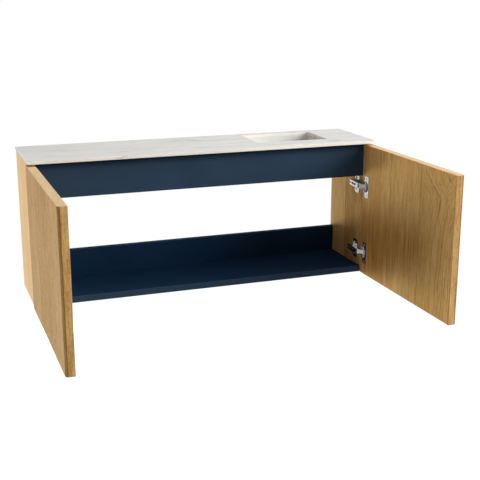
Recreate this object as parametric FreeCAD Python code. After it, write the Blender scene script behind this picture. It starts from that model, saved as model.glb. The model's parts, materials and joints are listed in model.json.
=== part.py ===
"""Wall-hung cloakroom vanity unit, shown with both doors standing open at a right angle.

Frame, in millimetres: X runs along the width, Y towards the wall, Z up. The wall is the plane Y = 0,
and the origin is the middle of the line through the two wall fixing holes.
"""
import FreeCAD, Part
import math
import os

V = FreeCAD.Vector
X_AXIS = V(1, 0, 0)
Y_AXIS = V(0, 1, 0)
Z_AXIS = V(0, 0, 1)

# Stone top
TOP_WIDTH = 1000.0
TOP_DEPTH = 250.0
TOP_OVERHANG = 37.0         # in front of the carcass
TOP_T = 8.0
TOP_ARRIS = 0.8
FIX_DROP = 58.0             # wall fixing line, below the top surface

# Carcass boards
SIDE_T = 18.0
SIDE_INSET = 2.0            # side panels stand in from the ends of the top
CARCASS_H = 397.0
RAIL_T = 18.0
APRON_H = 101.0
HANG_RAIL_H = 100.0
LOW_RAIL_H = 78.0
SHELF_T = 18.0

# Bowl, built from slabs of the same stone
BOWL_LENGTH = 216.0
BOWL_FROM_FRONT = 79.0      # front edge of the top to the bowl
BOWL_FROM_RIGHT = 120.0     # right end of the top to the bowl
BOWL_FROM_REAR = 27.0       # rear edge of the top to the bowl
BOWL_DEPTH = 75.0           # top surface to the floor of the sump
SUMP_LENGTH = 70.0
STONE_T = 8.0

# Waste fitting
WASTE_TAIL_R = 20.95        # thread of a 1 1/4 inch waste
WASTE_BORE_R = 16.0
WASTE_HOLE_GAP = 1.0
WASTE_FLANGE_R = 29.0
WASTE_FLANGE_T = 3.0
WASTE_TAIL_END = 40.0       # tail below the stone
WASTE_GROOVE = 2.0          # thread relief under the nut, width
WASTE_GROOVE_DEPTH = 0.8
WASTE_LEAD_IN = 1.0
GRID_SLOT_W = 4.0
GRID_SLOT_PITCH = 7.0
GRID_T = 2.0
GASKET_T = 3.0
NUT_H = 9.0
NUT_FLATS = 56.0

# Doors
DOOR_T = 23.0
DOOR_BEVEL = 5.0            # on the outer closing edge
DOOR_TOP_GAP = 6.0
DOOR_BACK_GAP = 3.0
DOOR_EDGE_INSET = 1.0       # closed door edge, in from the end of the top
MEETING_GAP = 4.0
OPEN_OUT = 1.0              # open door's outer face, outside the end of the top
OPEN_FORWARD = 6.0          # open door's hinge edge, in front of the carcass

# Concealed hinges
HINGE_BELOW_APRON = 29.0
HINGE_ABOVE_SHELF = 48.0
CUP_R = 17.5
CUP_DEPTH = 11.5
CUP_WALL = 1.0
CUP_EDGE = 3.0              # door edge to the rim of the cup
FLANGE_T = 1.5
FLANGE_LENGTH = 65.0
FLANGE_BAR_W = 22.0
FLANGE_CORNER = 5.0
FLANGE_LIP = 1.0
FLANGE_RELIEF = 3.0         # flange cut back from the rim on the door edge side
CUP_SCREW_SPACING = 52.0
CUP_SCREW_OFFSET = 5.5
CUP_PIN_OFFSET = 8.5        # cup centre to the cup pin, towards the door edge
CUP_PIN_DEPTH = 3.0
LINK_REACH = 24.0           # virtual centre of the swing to the arm pin
PIN_R = 1.5
LINK_EYE_R = 3.0
LINK_HALF_W = 5.9
LINK_PLATE = 1.3
LINK_INNER_EDGE = 0.4       # inner flank of the link, past the line between its pins
ARM_CHEEK = 1.5
ARM_NOSE_R = 3.4
ARM_TOP_H = 16.0
ARM_REAR_H = 12.0
ARM_FOOT_H = 3.0
ARM_LENGTH = 61.0
ARM_SHOULDER = 14.0         # the top of the arm is level in front of this line
ARM_OPEN = 1.0              # the cheeks stand free in front of this line
ARM_CHEEK_FOOT = 8.0        # foot of the cheeks, behind the carcass front
ARM_SLOT_L = 14.0           # open slot at the rear end of the arm
ARM_SLOT_W = 4.4
PLATE_SETBACK = 37.0
PLATE_WING_L = 56.0
PLATE_WING_FRONT = 19.0     # wings, in front of their screws and behind them
PLATE_WING_REAR = 9.0
PLATE_WING_CORNER = 8.0
PLATE_WING_T = 2.0
PLATE_RAIL_FRONT = 13.0
PLATE_RAIL_REAR = 52.0
PLATE_RAIL_H = 10.2
PLATE_SCREW_SPACING = 32.0
ADJUSTER_R = 3.4
ADJUSTER_SHANK_R = 2.0
ADJUSTER_T = 1.6
ADJUSTER_SLOT = 1.0
ADJUSTER_SETBACKS = (37.0, 21.0)

# Wall brackets and fasteners
BRACKET_LEG = 50.0
BRACKET_H = 60.0
BRACKET_T = 3.0
WALL_HOLE_R = 5.0
SCREW_R = 2.0
SCREW_HEAD_R = 4.0
SCREW_HEAD_T = 2.0
SCREW_L = 14.0
SUNK_DEPTH = 1.4            # countersunk heads of the cup and rail screws
BRACKET_SCREW_EDGE = 11.0
RAIL_SCREW_L = 45.0
RAIL_SCREW_PITCH = 300.0
DOWEL_R = 4.0
DOWEL_L = 32.0
DOWEL_IN_SIDE = 12.0
DOWEL_FLUTES = 8
SCREW_FACETS = 10           # screws are drawn with few faces
JOINT_EDGE = 25.0           # dowels of a rail, in from its edges
SHELF_DOWEL_EDGE = 40.0

# Fits
FIT = 0.02                  # fixed pins, screws and dowels, on the radius
RUN = 0.05                  # pins that turn, on the radius
SEAT = 0.1                  # cup in its bore
SIDE_PLAY = 0.3             # between plates that slide past each other

# Places that follow from these sizes
LEFT = -TOP_WIDTH / 2
Z_TOP = FIX_DROP
Z_UNDER = Z_TOP - TOP_T
Z_BOTTOM = Z_UNDER - CARCASS_H
Z_SHELF = Z_BOTTOM + SHELF_T
Y_FRONT = TOP_OVERHANG - TOP_DEPTH
SIDE_OUT = LEFT + SIDE_INSET
SIDE_IN = SIDE_OUT + SIDE_T
DOOR_WIDTH = TOP_WIDTH / 2 - DOOR_EDGE_INSET - MEETING_GAP / 2
DOOR_Z = (Z_BOTTOM, Z_UNDER - DOOR_TOP_GAP)
HINGE_Z = (Z_UNDER - APRON_H - HINGE_BELOW_APRON, Z_SHELF + HINGE_ABOVE_SHELF)
BOWL_X = (-LEFT - BOWL_FROM_RIGHT - BOWL_LENGTH, -LEFT - BOWL_FROM_RIGHT)
BOWL_Y = (BOWL_FROM_FRONT - TOP_DEPTH, -BOWL_FROM_REAR)
BOWL_WIDTH = BOWL_Y[1] - BOWL_Y[0]
SUMP_X = BOWL_X[1] - SUMP_LENGTH
Z_SUMP = Z_TOP - BOWL_DEPTH
ARM_HALF_W = LINK_HALF_W + SIDE_PLAY + ARM_CHEEK


def box(x, y, z):
    """Box between two limits on each axis."""
    return Part.makeBox(x[1] - x[0], y[1] - y[0], z[1] - z[0], V(x[0], y[0], z[0]))


def rod(radius, start, end):
    """Round bar between two points."""
    along = end - start
    return Part.makeCylinder(radius, along.Length, start, along)


def prism(points, along):
    """Solid swept from a closed outline of points."""
    return Part.Face(Part.makePolygon(points + points[:1])).extrude(along)


def ring_points(centre, along, radius, sides):
    """Corners of a regular polygon round an axis."""
    side = along.cross(Z_AXIS if abs(along.normalize().z) < 0.9 else X_AXIS).normalize()
    up = along.cross(side)
    turns = [2 * math.pi * (step + 0.5) / sides for step in range(sides)]
    return [centre + side * (radius * math.cos(t)) + up * (radius * math.sin(t)) for t in turns]


def flat_rod(sides, radius, start, end):
    """Bar with flat facets between two points."""
    return prism(ring_points(start, end - start, radius, sides), end - start)


def flat_cone(sides, radius, tip_radius, start, end):
    """Tapered bar with flat facets between two points."""
    rings = [Part.makePolygon(ring + ring[:1]) for ring in (ring_points(start, end - start, radius, sides),
                                                            ring_points(end, end - start, tip_radius, sides))]
    return Part.makeLoft(rings, True, True)


def round_corners(plate, thin, radius):
    """Plate with the four edges through its thickness rounded."""
    edges = [e for e in plate.Edges if abs(e.tangentAt(e.FirstParameter).dot(thin)) > 0.9]
    return plate.makeFillet(radius, edges)


def fused(first, *others):
    return first.fuse(list(others)).removeSplitter()


def without(solid, cutters):
    return solid.cut(list(cutters))


def mirrored(shape):
    """The same piece on the right-hand side."""
    return shape.mirror(V(0, 0, 0), X_AXIS)


def both(shapes):
    return list(shapes) + [mirrored(s) for s in shapes]


def save(name, shapes):
    """One node: a piece, or a group of like pieces."""
    shapes = shapes if isinstance(shapes, list) else [shapes]
    solids = [solid for shape in shapes for solid in shape.Solids]
    Part.makeCompound(solids).exportStep("parts/" + name + ".step")


# The swing of a door, in the plane of u (inwards from the end of the top) and w (forwards of the carcass)
def place(u, w, z=0.0):
    return V(LEFT + u, Y_FRONT - w, z)


def quarter_turn(p):
    return (-p[1], p[0])


SHUT_CORNER = (DOOR_EDGE_INSET, DOOR_BACK_GAP + DOOR_T)
OPEN_CORNER = (-OPEN_OUT, OPEN_FORWARD)
SWING_SUM = SHUT_CORNER[1] + OPEN_CORNER[0]
SWING_DIFF = SHUT_CORNER[0] - OPEN_CORNER[1]
SWING = ((SWING_SUM + SWING_DIFF) / 2, (SWING_SUM - SWING_DIFF) / 2)
CUP_U = DOOR_EDGE_INSET + CUP_EDGE + CUP_R
CUP_PIN_SHUT = (CUP_U - CUP_PIN_OFFSET, DOOR_BACK_GAP + CUP_PIN_DEPTH)
PIN_ARM_SHUT = (CUP_PIN_SHUT[0] - SWING[0], CUP_PIN_SHUT[1] - SWING[1])
PIN_ARM_OPEN = quarter_turn(PIN_ARM_SHUT)
CUP_PIN_OPEN = (SWING[0] + PIN_ARM_OPEN[0], SWING[1] + PIN_ARM_OPEN[1])
BISECTOR = (PIN_ARM_SHUT[0] + PIN_ARM_OPEN[0], PIN_ARM_SHUT[1] + PIN_ARM_OPEN[1])
BISECTOR_L = math.hypot(*BISECTOR)
ARM_PIN = tuple(SWING[i] + LINK_REACH * BISECTOR[i] / BISECTOR_L for i in (0, 1))
ARM_PIN_H = ARM_PIN[0] - SIDE_INSET - SIDE_T
SIDE_U = SIDE_INSET + SIDE_T


def opened(shape):
    """A piece of the left door, turned from shut to a right angle."""
    turned = shape.copy()
    turned.rotate(place(*SWING), Z_AXIS, -90)
    return turned


# Fastener places: each board end meets a side panel with glued dowels
def rail_dowels(y, z_low, z_high):
    return [(y, z_low + JOINT_EDGE), (y, z_high - JOINT_EDGE)]


APRON_Z = (Z_UNDER - APRON_H, Z_UNDER)
HANG_Z = (Z_UNDER - HANG_RAIL_H, Z_UNDER)
LOW_Z = (Z_SHELF, Z_SHELF + LOW_RAIL_H)
Z_SHELF_MID = Z_BOTTOM + SHELF_T / 2
APRON_DOWELS = rail_dowels(Y_FRONT + RAIL_T / 2, *APRON_Z)
HANG_DOWELS = rail_dowels(-RAIL_T / 2, *HANG_Z)
LOW_DOWELS = rail_dowels(-RAIL_T / 2, *LOW_Z)
SHELF_DOWELS = [(Y_FRONT + SHELF_DOWEL_EDGE, Z_SHELF_MID), (-SHELF_DOWEL_EDGE, Z_SHELF_MID)]
ALL_DOWELS = APRON_DOWELS + HANG_DOWELS + LOW_DOWELS + SHELF_DOWELS
RAIL_SCREW_X = (-RAIL_SCREW_PITCH, 0.0, RAIL_SCREW_PITCH)


def dowel(y, z, gap=0.0):
    start = SIDE_IN - DOWEL_IN_SIDE
    return flat_rod(DOWEL_FLUTES, DOWEL_R + gap, V(start - gap, y, z), V(start + DOWEL_L + gap, y, z))


def screw(tip, out, gap=0.0):
    """Pan-head screw: tip of the shank and direction of the head. With a gap, only its hole."""
    seat = tip + out * SCREW_L
    shank = flat_rod(SCREW_FACETS, SCREW_R + gap, tip - out * gap, seat)
    if gap:
        return shank
    return fused(shank, flat_rod(SCREW_FACETS, SCREW_HEAD_R, seat, seat + out * SCREW_HEAD_T))


def sunk_screw(face, inwards, length, gap=0.0):
    """Countersunk screw, its head flush with the face it goes in by."""
    neck = face + inwards * SUNK_DEPTH
    head = flat_cone(SCREW_FACETS, SCREW_HEAD_R + gap, SCREW_R + gap, face, neck)
    return fused(head, flat_rod(SCREW_FACETS, SCREW_R + gap, neck, face + inwards * (length + gap)))


def rail_screw(x, gap=0.0):
    """Screw from under the shelf into the lower rear rail."""
    return sunk_screw(V(x, -RAIL_T / 2, Z_BOTTOM), Z_AXIS, RAIL_SCREW_L, gap)


# Wall brackets in the upper rear corners
WALL_HOLE_X = SIDE_IN + BRACKET_LEG / 2 + BRACKET_T
BRACKET_Z = (-BRACKET_H / 2, BRACKET_H / 2)


def bracket_screws(gap=0.0):
    made = []
    for z in (BRACKET_Z[0] + BRACKET_SCREW_EDGE, BRACKET_Z[1] - BRACKET_SCREW_EDGE):
        side_y = -RAIL_T - BRACKET_LEG + BRACKET_SCREW_EDGE
        made.append(screw(V(SIDE_IN + BRACKET_T - SCREW_L, side_y, z), X_AXIS, gap))
        rail_x = SIDE_IN + BRACKET_LEG - BRACKET_SCREW_EDGE
        made.append(screw(V(rail_x, -RAIL_T - BRACKET_T + SCREW_L, z), -Y_AXIS, gap))
    return made


def wall_hole():
    return rod(WALL_HOLE_R, V(WALL_HOLE_X, -RAIL_T - BRACKET_T - 1, 0), V(WALL_HOLE_X, 1, 0))


def wall_bracket():
    along = box((SIDE_IN, SIDE_IN + BRACKET_LEG), (-RAIL_T - BRACKET_T, -RAIL_T), BRACKET_Z)
    flank = box((SIDE_IN, SIDE_IN + BRACKET_T), (-RAIL_T - BRACKET_LEG, -RAIL_T), BRACKET_Z)
    return without(fused(along, flank), [wall_hole()] + bracket_screws(FIT))


# Carcass
def side_panel():
    panel = box((SIDE_OUT, SIDE_IN), (Y_FRONT, 0), (Z_BOTTOM, Z_UNDER))
    bores = [dowel(y, z, FIT) for y, z in ALL_DOWELS]
    bores += bracket_screws(FIT)
    for z in HINGE_Z:
        bores += plate_screws(z, FIT)
    return without(panel, bores)


def board(y, z, dowels):
    """Board between the side panels, its ends bored for dowels."""
    plain = box((SIDE_IN, -SIDE_IN), y, z)
    return without(plain, both([dowel(*place_yz, FIT) for place_yz in dowels]))


def hanging_rail():
    rail = board((-RAIL_T, 0), HANG_Z, HANG_DOWELS)
    return without(rail, both([wall_hole()] + bracket_screws(FIT)))


def lower_rail():
    rail = board((-RAIL_T, 0), LOW_Z, LOW_DOWELS)
    return without(rail, [rail_screw(x, FIT) for x in RAIL_SCREW_X])


def shelf():
    plain = board((Y_FRONT, 0), (Z_BOTTOM, Z_SHELF), SHELF_DOWELS)
    return without(plain, [rail_screw(x, FIT) for x in RAIL_SCREW_X])


# Stone top and bowl
def stone_top():
    slab = box((LEFT, -LEFT), (-TOP_DEPTH, 0), (Z_UNDER, Z_TOP))
    upper = [e for e in slab.Edges if e.BoundBox.ZMin > Z_TOP - FIT and e.BoundBox.YMax < -FIT]
    upper += [e for e in slab.Edges if e.BoundBox.ZMin > Z_TOP - FIT and e.BoundBox.YLength > TOP_DEPTH / 2]
    slab = slab.makeChamfer(TOP_ARRIS, upper)
    return without(slab, [box(BOWL_X, BOWL_Y, (Z_UNDER, Z_TOP))])


RAMP_RUN = SUMP_X - BOWL_X[0]
RAMP_DROP = Z_UNDER - Z_SUMP
RAMP_SLOPE = RAMP_DROP / RAMP_RUN
RAMP_T_UPRIGHT = STONE_T * math.hypot(1.0, RAMP_SLOPE)


def bowl_side_outline(y):
    """Outline of a long wall: level at the top, its foot follows the ramp and the sump."""
    low = Z_SUMP - STONE_T
    ramp_foot = SUMP_X + (low - Z_SUMP + RAMP_T_UPRIGHT) / RAMP_SLOPE * -1
    corners = [(BOWL_X[0], Z_UNDER), (BOWL_X[1], Z_UNDER), (BOWL_X[1], low), (min(ramp_foot, SUMP_X), low),
               (BOWL_X[0], Z_UNDER - RAMP_T_UPRIGHT)]
    return [V(x, y, z) for x, z in corners]


def bowl_wall(y_start):
    return prism(bowl_side_outline(y_start), V(0, STONE_T, 0))


def bowl_end_wall():
    y = (BOWL_Y[0] - STONE_T, BOWL_Y[1] + STONE_T)
    return box((BOWL_X[1], BOWL_X[1] + STONE_T), y, (Z_SUMP - STONE_T, Z_UNDER))


def bowl_ramp():
    """Sloping floor, mitred to the sump floor."""
    corners = [(BOWL_X[0], Z_UNDER), (SUMP_X, Z_SUMP), (SUMP_X, Z_SUMP - STONE_T),
               (bowl_side_outline(0)[3].x, Z_SUMP - STONE_T), (BOWL_X[0], Z_UNDER - RAMP_T_UPRIGHT)]
    return prism([V(x, BOWL_Y[0], z) for x, z in corners], V(0, BOWL_WIDTH, 0))


SUMP_MID = V((SUMP_X + BOWL_X[1]) / 2, (BOWL_Y[0] + BOWL_Y[1]) / 2, Z_SUMP)


def sump_floor():
    floor = box((SUMP_X, BOWL_X[1]), BOWL_Y, (Z_SUMP - STONE_T, Z_SUMP))
    hole = rod(WASTE_TAIL_R + WASTE_HOLE_GAP, SUMP_MID - Z_AXIS * 2 * STONE_T, SUMP_MID + Z_AXIS)
    return without(floor, [hole])


def waste_body():
    """Flanged waste: domed rim, slotted grid and threaded tail in one casting."""
    end = SUMP_MID - Z_AXIS * (STONE_T + WASTE_TAIL_END)
    flange = Part.makeCone(WASTE_FLANGE_R, WASTE_FLANGE_R - WASTE_FLANGE_T, WASTE_FLANGE_T, SUMP_MID, Z_AXIS)
    groove = SUMP_MID - Z_AXIS * (STONE_T + GASKET_T + NUT_H + WASTE_GROOVE)
    lead = Part.makeCone(WASTE_TAIL_R - WASTE_LEAD_IN, WASTE_TAIL_R, WASTE_LEAD_IN, end, Z_AXIS)
    free_end = rod(WASTE_TAIL_R, end + Z_AXIS * WASTE_LEAD_IN, groove)
    neck = rod(WASTE_TAIL_R - WASTE_GROOVE_DEPTH, groove, groove + Z_AXIS * WASTE_GROOVE)
    body = fused(flange, lead, free_end, neck, rod(WASTE_TAIL_R, groove + Z_AXIS * WASTE_GROOVE, SUMP_MID))
    top = SUMP_MID + Z_AXIS * WASTE_FLANGE_T
    grid_foot = top - Z_AXIS * GRID_T
    slots = []
    for step in (-2, -1, 0, 1, 2):
        x = SUMP_MID.x + step * GRID_SLOT_PITCH
        half = math.sqrt(WASTE_BORE_R ** 2 - (abs(step) * GRID_SLOT_PITCH) ** 2) - GRID_SLOT_W / 2
        slots.append(box((x - GRID_SLOT_W / 2, x + GRID_SLOT_W / 2), (SUMP_MID.y - half, SUMP_MID.y + half),
                         (grid_foot.z - 1, top.z + 1)))
    return without(body, [rod(WASTE_BORE_R, end - Z_AXIS, grid_foot)] + slots)


def waste_gasket():
    top = SUMP_MID - Z_AXIS * STONE_T
    ring = rod(WASTE_FLANGE_R, top - Z_AXIS * GASKET_T, top)
    return without(ring, [rod(WASTE_TAIL_R + FIT, top - Z_AXIS * 2 * GASKET_T, top + Z_AXIS)])


def waste_nut():
    top = SUMP_MID - Z_AXIS * (STONE_T + GASKET_T)
    corner_r = NUT_FLATS / math.sqrt(3.0)
    corners = []
    for step in range(6):
        turn = math.radians(60 * step)
        corners.append(top + V(corner_r * math.cos(turn), corner_r * math.sin(turn), 0))
    nut = prism(corners, V(0, 0, -NUT_H))
    return without(nut, [rod(WASTE_TAIL_R + FIT, top - Z_AXIS * 2 * NUT_H, top + Z_AXIS)])


# Left-hand hinges, at height z; the right-hand ones are mirrored
def hinge_bar(points, z, half):
    """Outline in the plane of the swing, extruded to both sides of the hinge's mid height."""
    return prism([place(u, w, z - half) for u, w in points], V(0, 0, 2 * half))


def upright(radius, at, z, half):
    return rod(radius, place(at[0], at[1], z - half), place(at[0], at[1], z + half))


def upright_edge(height, rear, front):
    """Rectangle that stands on the inner face of the side panel."""
    return [(SIDE_U, rear), (SIDE_U + height, rear), (SIDE_U + height, front), (SIDE_U, front)]


def adjuster_seat(setback):
    """Height of the arm's top, over the side panel, at a distance behind the carcass front."""
    rise = (ARM_LENGTH - setback) / (ARM_LENGTH - ARM_SHOULDER)
    return ARM_REAR_H + (ARM_TOP_H - ARM_REAR_H) * rise


def adjuster_hole(setback, z):
    foot = place(SIDE_U + PLATE_WING_T, -setback, z)
    return flat_rod(SCREW_FACETS, ADJUSTER_SHANK_R + FIT, foot, foot + X_AXIS * 2 * ARM_TOP_H)


def hinge_arm(z):
    """Folded steel arm: a channel over the rail of the plate, with two free cheeks for the link."""
    tip_h = ARM_PIN_H
    outline = [(ARM_FOOT_H, -ARM_LENGTH), (ARM_REAR_H, -ARM_LENGTH), (ARM_TOP_H, -ARM_SHOULDER),
               (ARM_TOP_H, -ARM_OPEN), (tip_h + ARM_NOSE_R, ARM_PIN[1]), (tip_h - ARM_NOSE_R, ARM_PIN[1]),
               (ARM_FOOT_H, -ARM_CHEEK_FOOT)]
    arm = hinge_bar([(SIDE_U + h, w) for h, w in outline], z, ARM_HALF_W)
    arm = fused(arm, upright(ARM_NOSE_R, ARM_PIN, z, ARM_HALF_W))
    hollow = [(0, -2 * ARM_LENGTH), (ARM_REAR_H - ARM_CHEEK, -2 * ARM_LENGTH),
              (ARM_REAR_H - ARM_CHEEK, -ARM_LENGTH), (ARM_TOP_H - ARM_CHEEK, -ARM_SHOULDER),
              (ARM_TOP_H - ARM_CHEEK, -ARM_OPEN), (2 * ARM_TOP_H, -ARM_OPEN), (2 * ARM_TOP_H, ARM_LENGTH),
              (0, ARM_LENGTH)]
    channel = hinge_bar([(SIDE_U + h, w) for h, w in hollow], z, ARM_HALF_W - ARM_CHEEK)
    holes = [upright(PIN_R + FIT, ARM_PIN, z, 2 * ARM_HALF_W)]
    slot = upright_edge(2 * ARM_TOP_H, -2 * ARM_LENGTH, ARM_SLOT_L - ARM_LENGTH)
    holes.append(hinge_bar(slot, z, ARM_SLOT_W / 2))
    holes += [adjuster_hole(setback, z) for setback in ADJUSTER_SETBACKS]
    return without(arm, [channel] + holes)


def adjusters(z):
    """Slotted set screws that fix the arm to the plate."""
    made = []
    for setback in ADJUSTER_SETBACKS:
        seat = SIDE_U + adjuster_seat(setback) + SIDE_PLAY
        foot, neck = place(SIDE_U + PLATE_WING_T, -setback, z), place(seat, -setback, z)
        head = flat_rod(SCREW_FACETS, ADJUSTER_R, neck, neck + X_AXIS * ADJUSTER_T)
        shank = flat_rod(SCREW_FACETS, ADJUSTER_SHANK_R, foot, neck)
        front, rear = -setback + ADJUSTER_R, -setback - ADJUSTER_R
        low, high = seat + ADJUSTER_T / 2, seat + 2 * ADJUSTER_T
        slot = hinge_bar([(low, rear), (high, rear), (high, front), (low, front)], z, ADJUSTER_SLOT / 2)
        made.append(without(fused(head, shank), [slot]))
    return made


def plate_screws(z, gap=0.0):
    made = []
    for step in (-1, 1):
        head = place(SIDE_U + PLATE_WING_T, -PLATE_SETBACK, z + step * PLATE_SCREW_SPACING / 2)
        made.append(screw(head - X_AXIS * SCREW_L, X_AXIS, gap))
    return made


def mounting_plate(z):
    """Cross-shaped plate: round-cornered wings on the side panel and the rail that carries the arm."""
    rear, front = -PLATE_SETBACK - PLATE_WING_REAR, -PLATE_SETBACK + PLATE_WING_FRONT
    wings = hinge_bar(upright_edge(PLATE_WING_T, rear, front), z, PLATE_WING_L / 2)
    wings = round_corners(wings, X_AXIS, PLATE_WING_CORNER)
    rail_half = ARM_HALF_W - ARM_CHEEK - SIDE_PLAY
    rail = hinge_bar(upright_edge(PLATE_RAIL_H, -PLATE_RAIL_REAR, -PLATE_RAIL_FRONT), z, rail_half)
    body = fused(wings, rail)
    holes = plate_screws(z, FIT)
    holes += [adjuster_hole(setback, z) for setback in ADJUSTER_SETBACKS]
    return without(body, holes)


LINK_L = math.hypot(CUP_PIN_OPEN[0] - ARM_PIN[0], CUP_PIN_OPEN[1] - ARM_PIN[1])
LINK_ALONG = ((CUP_PIN_OPEN[0] - ARM_PIN[0]) / LINK_L, (CUP_PIN_OPEN[1] - ARM_PIN[1]) / LINK_L)
LINK_OUT = (LINK_ALONG[1], -LINK_ALONG[0])


def beside_link(along, out):
    """Point beside the open link: distance from the arm pin, and distance towards its outer flank."""
    return (ARM_PIN[0] + along * LINK_ALONG[0] + out * LINK_OUT[0],
            ARM_PIN[1] + along * LINK_ALONG[1] + out * LINK_OUT[1])


def link_strip(z, ends, flanks, half):
    """Straight strip of the link's profile, between two distances along it and two beside it."""
    corners = [(ends[0], flanks[0]), (ends[1], flanks[0]), (ends[1], flanks[1]), (ends[0], flanks[1])]
    return hinge_bar([beside_link(*c) for c in corners], z, half)


def hinge_link(z):
    """Folded link between arm and cup: two eye plates joined by a web on its outer flank."""
    bar = link_strip(z, (0, LINK_L), (-LINK_INNER_EDGE, LINK_EYE_R), LINK_HALF_W)
    bar = fused(bar, *[upright(LINK_EYE_R, pin, z, LINK_HALF_W) for pin in (ARM_PIN, CUP_PIN_OPEN)])
    past = 2 * LINK_EYE_R
    pocket = link_strip(z, (-past, LINK_L + past), (-past, LINK_EYE_R - LINK_PLATE), LINK_HALF_W - LINK_PLATE)
    eyes = [upright(PIN_R + RUN, pin, z, 2 * LINK_HALF_W) for pin in (ARM_PIN, CUP_PIN_OPEN)]
    return without(bar, [pocket] + eyes)


def arm_pin(z):
    return upright(PIN_R, ARM_PIN, z, ARM_HALF_W)


CUP_PIN_HALF = math.sqrt(CUP_R ** 2 - CUP_PIN_OFFSET ** 2) - CUP_WALL / 2


def cup_pin(z):
    return opened(upright(PIN_R, CUP_PIN_SHUT, z, CUP_PIN_HALF))


def cup_screws(z, gap=0.0):
    """Screws of one cup, on the shut door."""
    made = []
    for step in (-1, 1):
        head = place(CUP_U + CUP_SCREW_OFFSET, DOOR_BACK_GAP - FLANGE_T, z + step * CUP_SCREW_SPACING / 2)
        made.append(sunk_screw(head, -Y_AXIS, SCREW_L, gap))
    return made


def hinge_cup(z):
    """Pressed steel cup with its flange, on the open door."""
    face = DOOR_BACK_GAP
    centre = place(CUP_U, face, z)
    hollow = rod(CUP_R - CUP_WALL, centre, place(CUP_U, face + CUP_DEPTH - CUP_WALL, z))
    bowl = without(rod(CUP_R, centre, place(CUP_U, face + CUP_DEPTH, z)), [hollow])
    out = V(0, FLANGE_T, 0)
    bar_u = CUP_U + CUP_SCREW_OFFSET
    half, reach = FLANGE_BAR_W / 2, FLANGE_LENGTH / 2
    back = (Y_FRONT - face, Y_FRONT - face + FLANGE_T)
    bar = box((LEFT + bar_u - half, LEFT + bar_u + half), back, (z - reach, z + reach))
    bar = round_corners(bar, Y_AXIS, FLANGE_CORNER)
    ring = rod(CUP_R + FLANGE_LIP, centre, centre + out)
    mouth = rod(CUP_R - CUP_WALL, centre, centre + out * 2)
    relief_u = CUP_U - CUP_R + FLANGE_RELIEF
    relief = box((LEFT, LEFT + relief_u), back, (z - 2 * CUP_R, z + 2 * CUP_R))
    flange = without(fused(bar, ring), [mouth, relief] + cup_screws(z, FIT))
    cup = without(fused(bowl, flange), [upright(PIN_R + FIT, CUP_PIN_SHUT, z, 2 * CUP_R)])
    return opened(cup)


def door():
    """Left door: the outer closing edge is bevelled, the back is bored for the cups."""
    near, far = DOOR_EDGE_INSET, DOOR_EDGE_INSET + DOOR_WIDTH
    back, front = DOOR_BACK_GAP, DOOR_BACK_GAP + DOOR_T
    outline = [(near, back), (far, back), (far, front - DOOR_BEVEL), (far - DOOR_BEVEL, front), (near, front)]
    panel = prism([place(u, w, DOOR_Z[0]) for u, w in outline], V(0, 0, DOOR_Z[1] - DOOR_Z[0]))
    bores = []
    for z in HINGE_Z:
        bores.append(rod(CUP_R + SEAT, place(CUP_U, back, z), place(CUP_U, back + CUP_DEPTH + SEAT, z)))
        bores += cup_screws(z, FIT)
    return opened(without(panel, bores))


def build_carcass():
    save("stone_top", stone_top())
    save("bowl_ramp", bowl_ramp())
    save("bowl_sump_floor", sump_floor())
    save("bowl_front_wall", bowl_wall(BOWL_Y[0] - STONE_T))
    save("bowl_rear_wall", bowl_wall(BOWL_Y[1]))
    save("bowl_end_wall", bowl_end_wall())
    save("waste_body", waste_body())
    save("waste_gasket", waste_gasket())
    save("waste_nut", waste_nut())
    save("side_panel_left", side_panel())
    save("side_panel_right", mirrored(side_panel()))
    save("front_apron", board((Y_FRONT, Y_FRONT + RAIL_T), APRON_Z, APRON_DOWELS))
    save("hanging_rail", hanging_rail())
    save("rear_lower_rail", lower_rail())
    save("bottom_shelf", shelf())
    save("wall_bracket_left", wall_bracket())
    save("wall_bracket_right", mirrored(wall_bracket()))
    save("bracket_screws", both(bracket_screws()))
    save("dowels", both([dowel(y, z) for y, z in ALL_DOWELS]))
    save("rail_screws", [rail_screw(x) for x in RAIL_SCREW_X])


def build_hinges():
    for level, z in zip(("upper", "lower"), HINGE_Z):
        for side, placed in (("left", lambda s: s), ("right", mirrored)):
            name = side + "_" + level
            save("hinge_plate_" + name, placed(mounting_plate(z)))
            save("hinge_arm_" + name, placed(hinge_arm(z)))
            save("hinge_link_" + name, placed(hinge_link(z)))
            save("hinge_cup_" + name, placed(hinge_cup(z)))
    save("hinge_plate_screws", both([s for z in HINGE_Z for s in plate_screws(z)]))
    save("hinge_adjusters", both([s for z in HINGE_Z for s in adjusters(z)]))
    save("hinge_arm_pins", both([arm_pin(z) for z in HINGE_Z]))
    for side, placed in (("left", lambda s: s), ("right", mirrored)):
        save("hinge_cup_pins_" + side, [placed(cup_pin(z)) for z in HINGE_Z])
        save("hinge_cup_screws_" + side, [placed(opened(s)) for z in HINGE_Z for s in cup_screws(z)])
        save("door_" + side, placed(door()))


def swing_report():
    """Pin places and turning angles, for the joints."""
    def heading(frm, to):
        return math.degrees(math.atan2(to[1] - frm[1], to[0] - frm[0]))
    link_turn = (heading(ARM_PIN, CUP_PIN_SHUT) - heading(ARM_PIN, CUP_PIN_OPEN) + 180) % 360 - 180
    print("arm pin", place(*ARM_PIN), "cup pin open", place(*CUP_PIN_OPEN), "swing centre", place(*SWING))
    ratio = -link_turn / (90 + link_turn)
    print("link turns %.4f deg while the door shuts by 90 deg, ratio %.6f" % (link_turn, ratio))


os.makedirs("parts", exist_ok=True)
build_carcass()
build_hinges()
swing_report()
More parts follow.
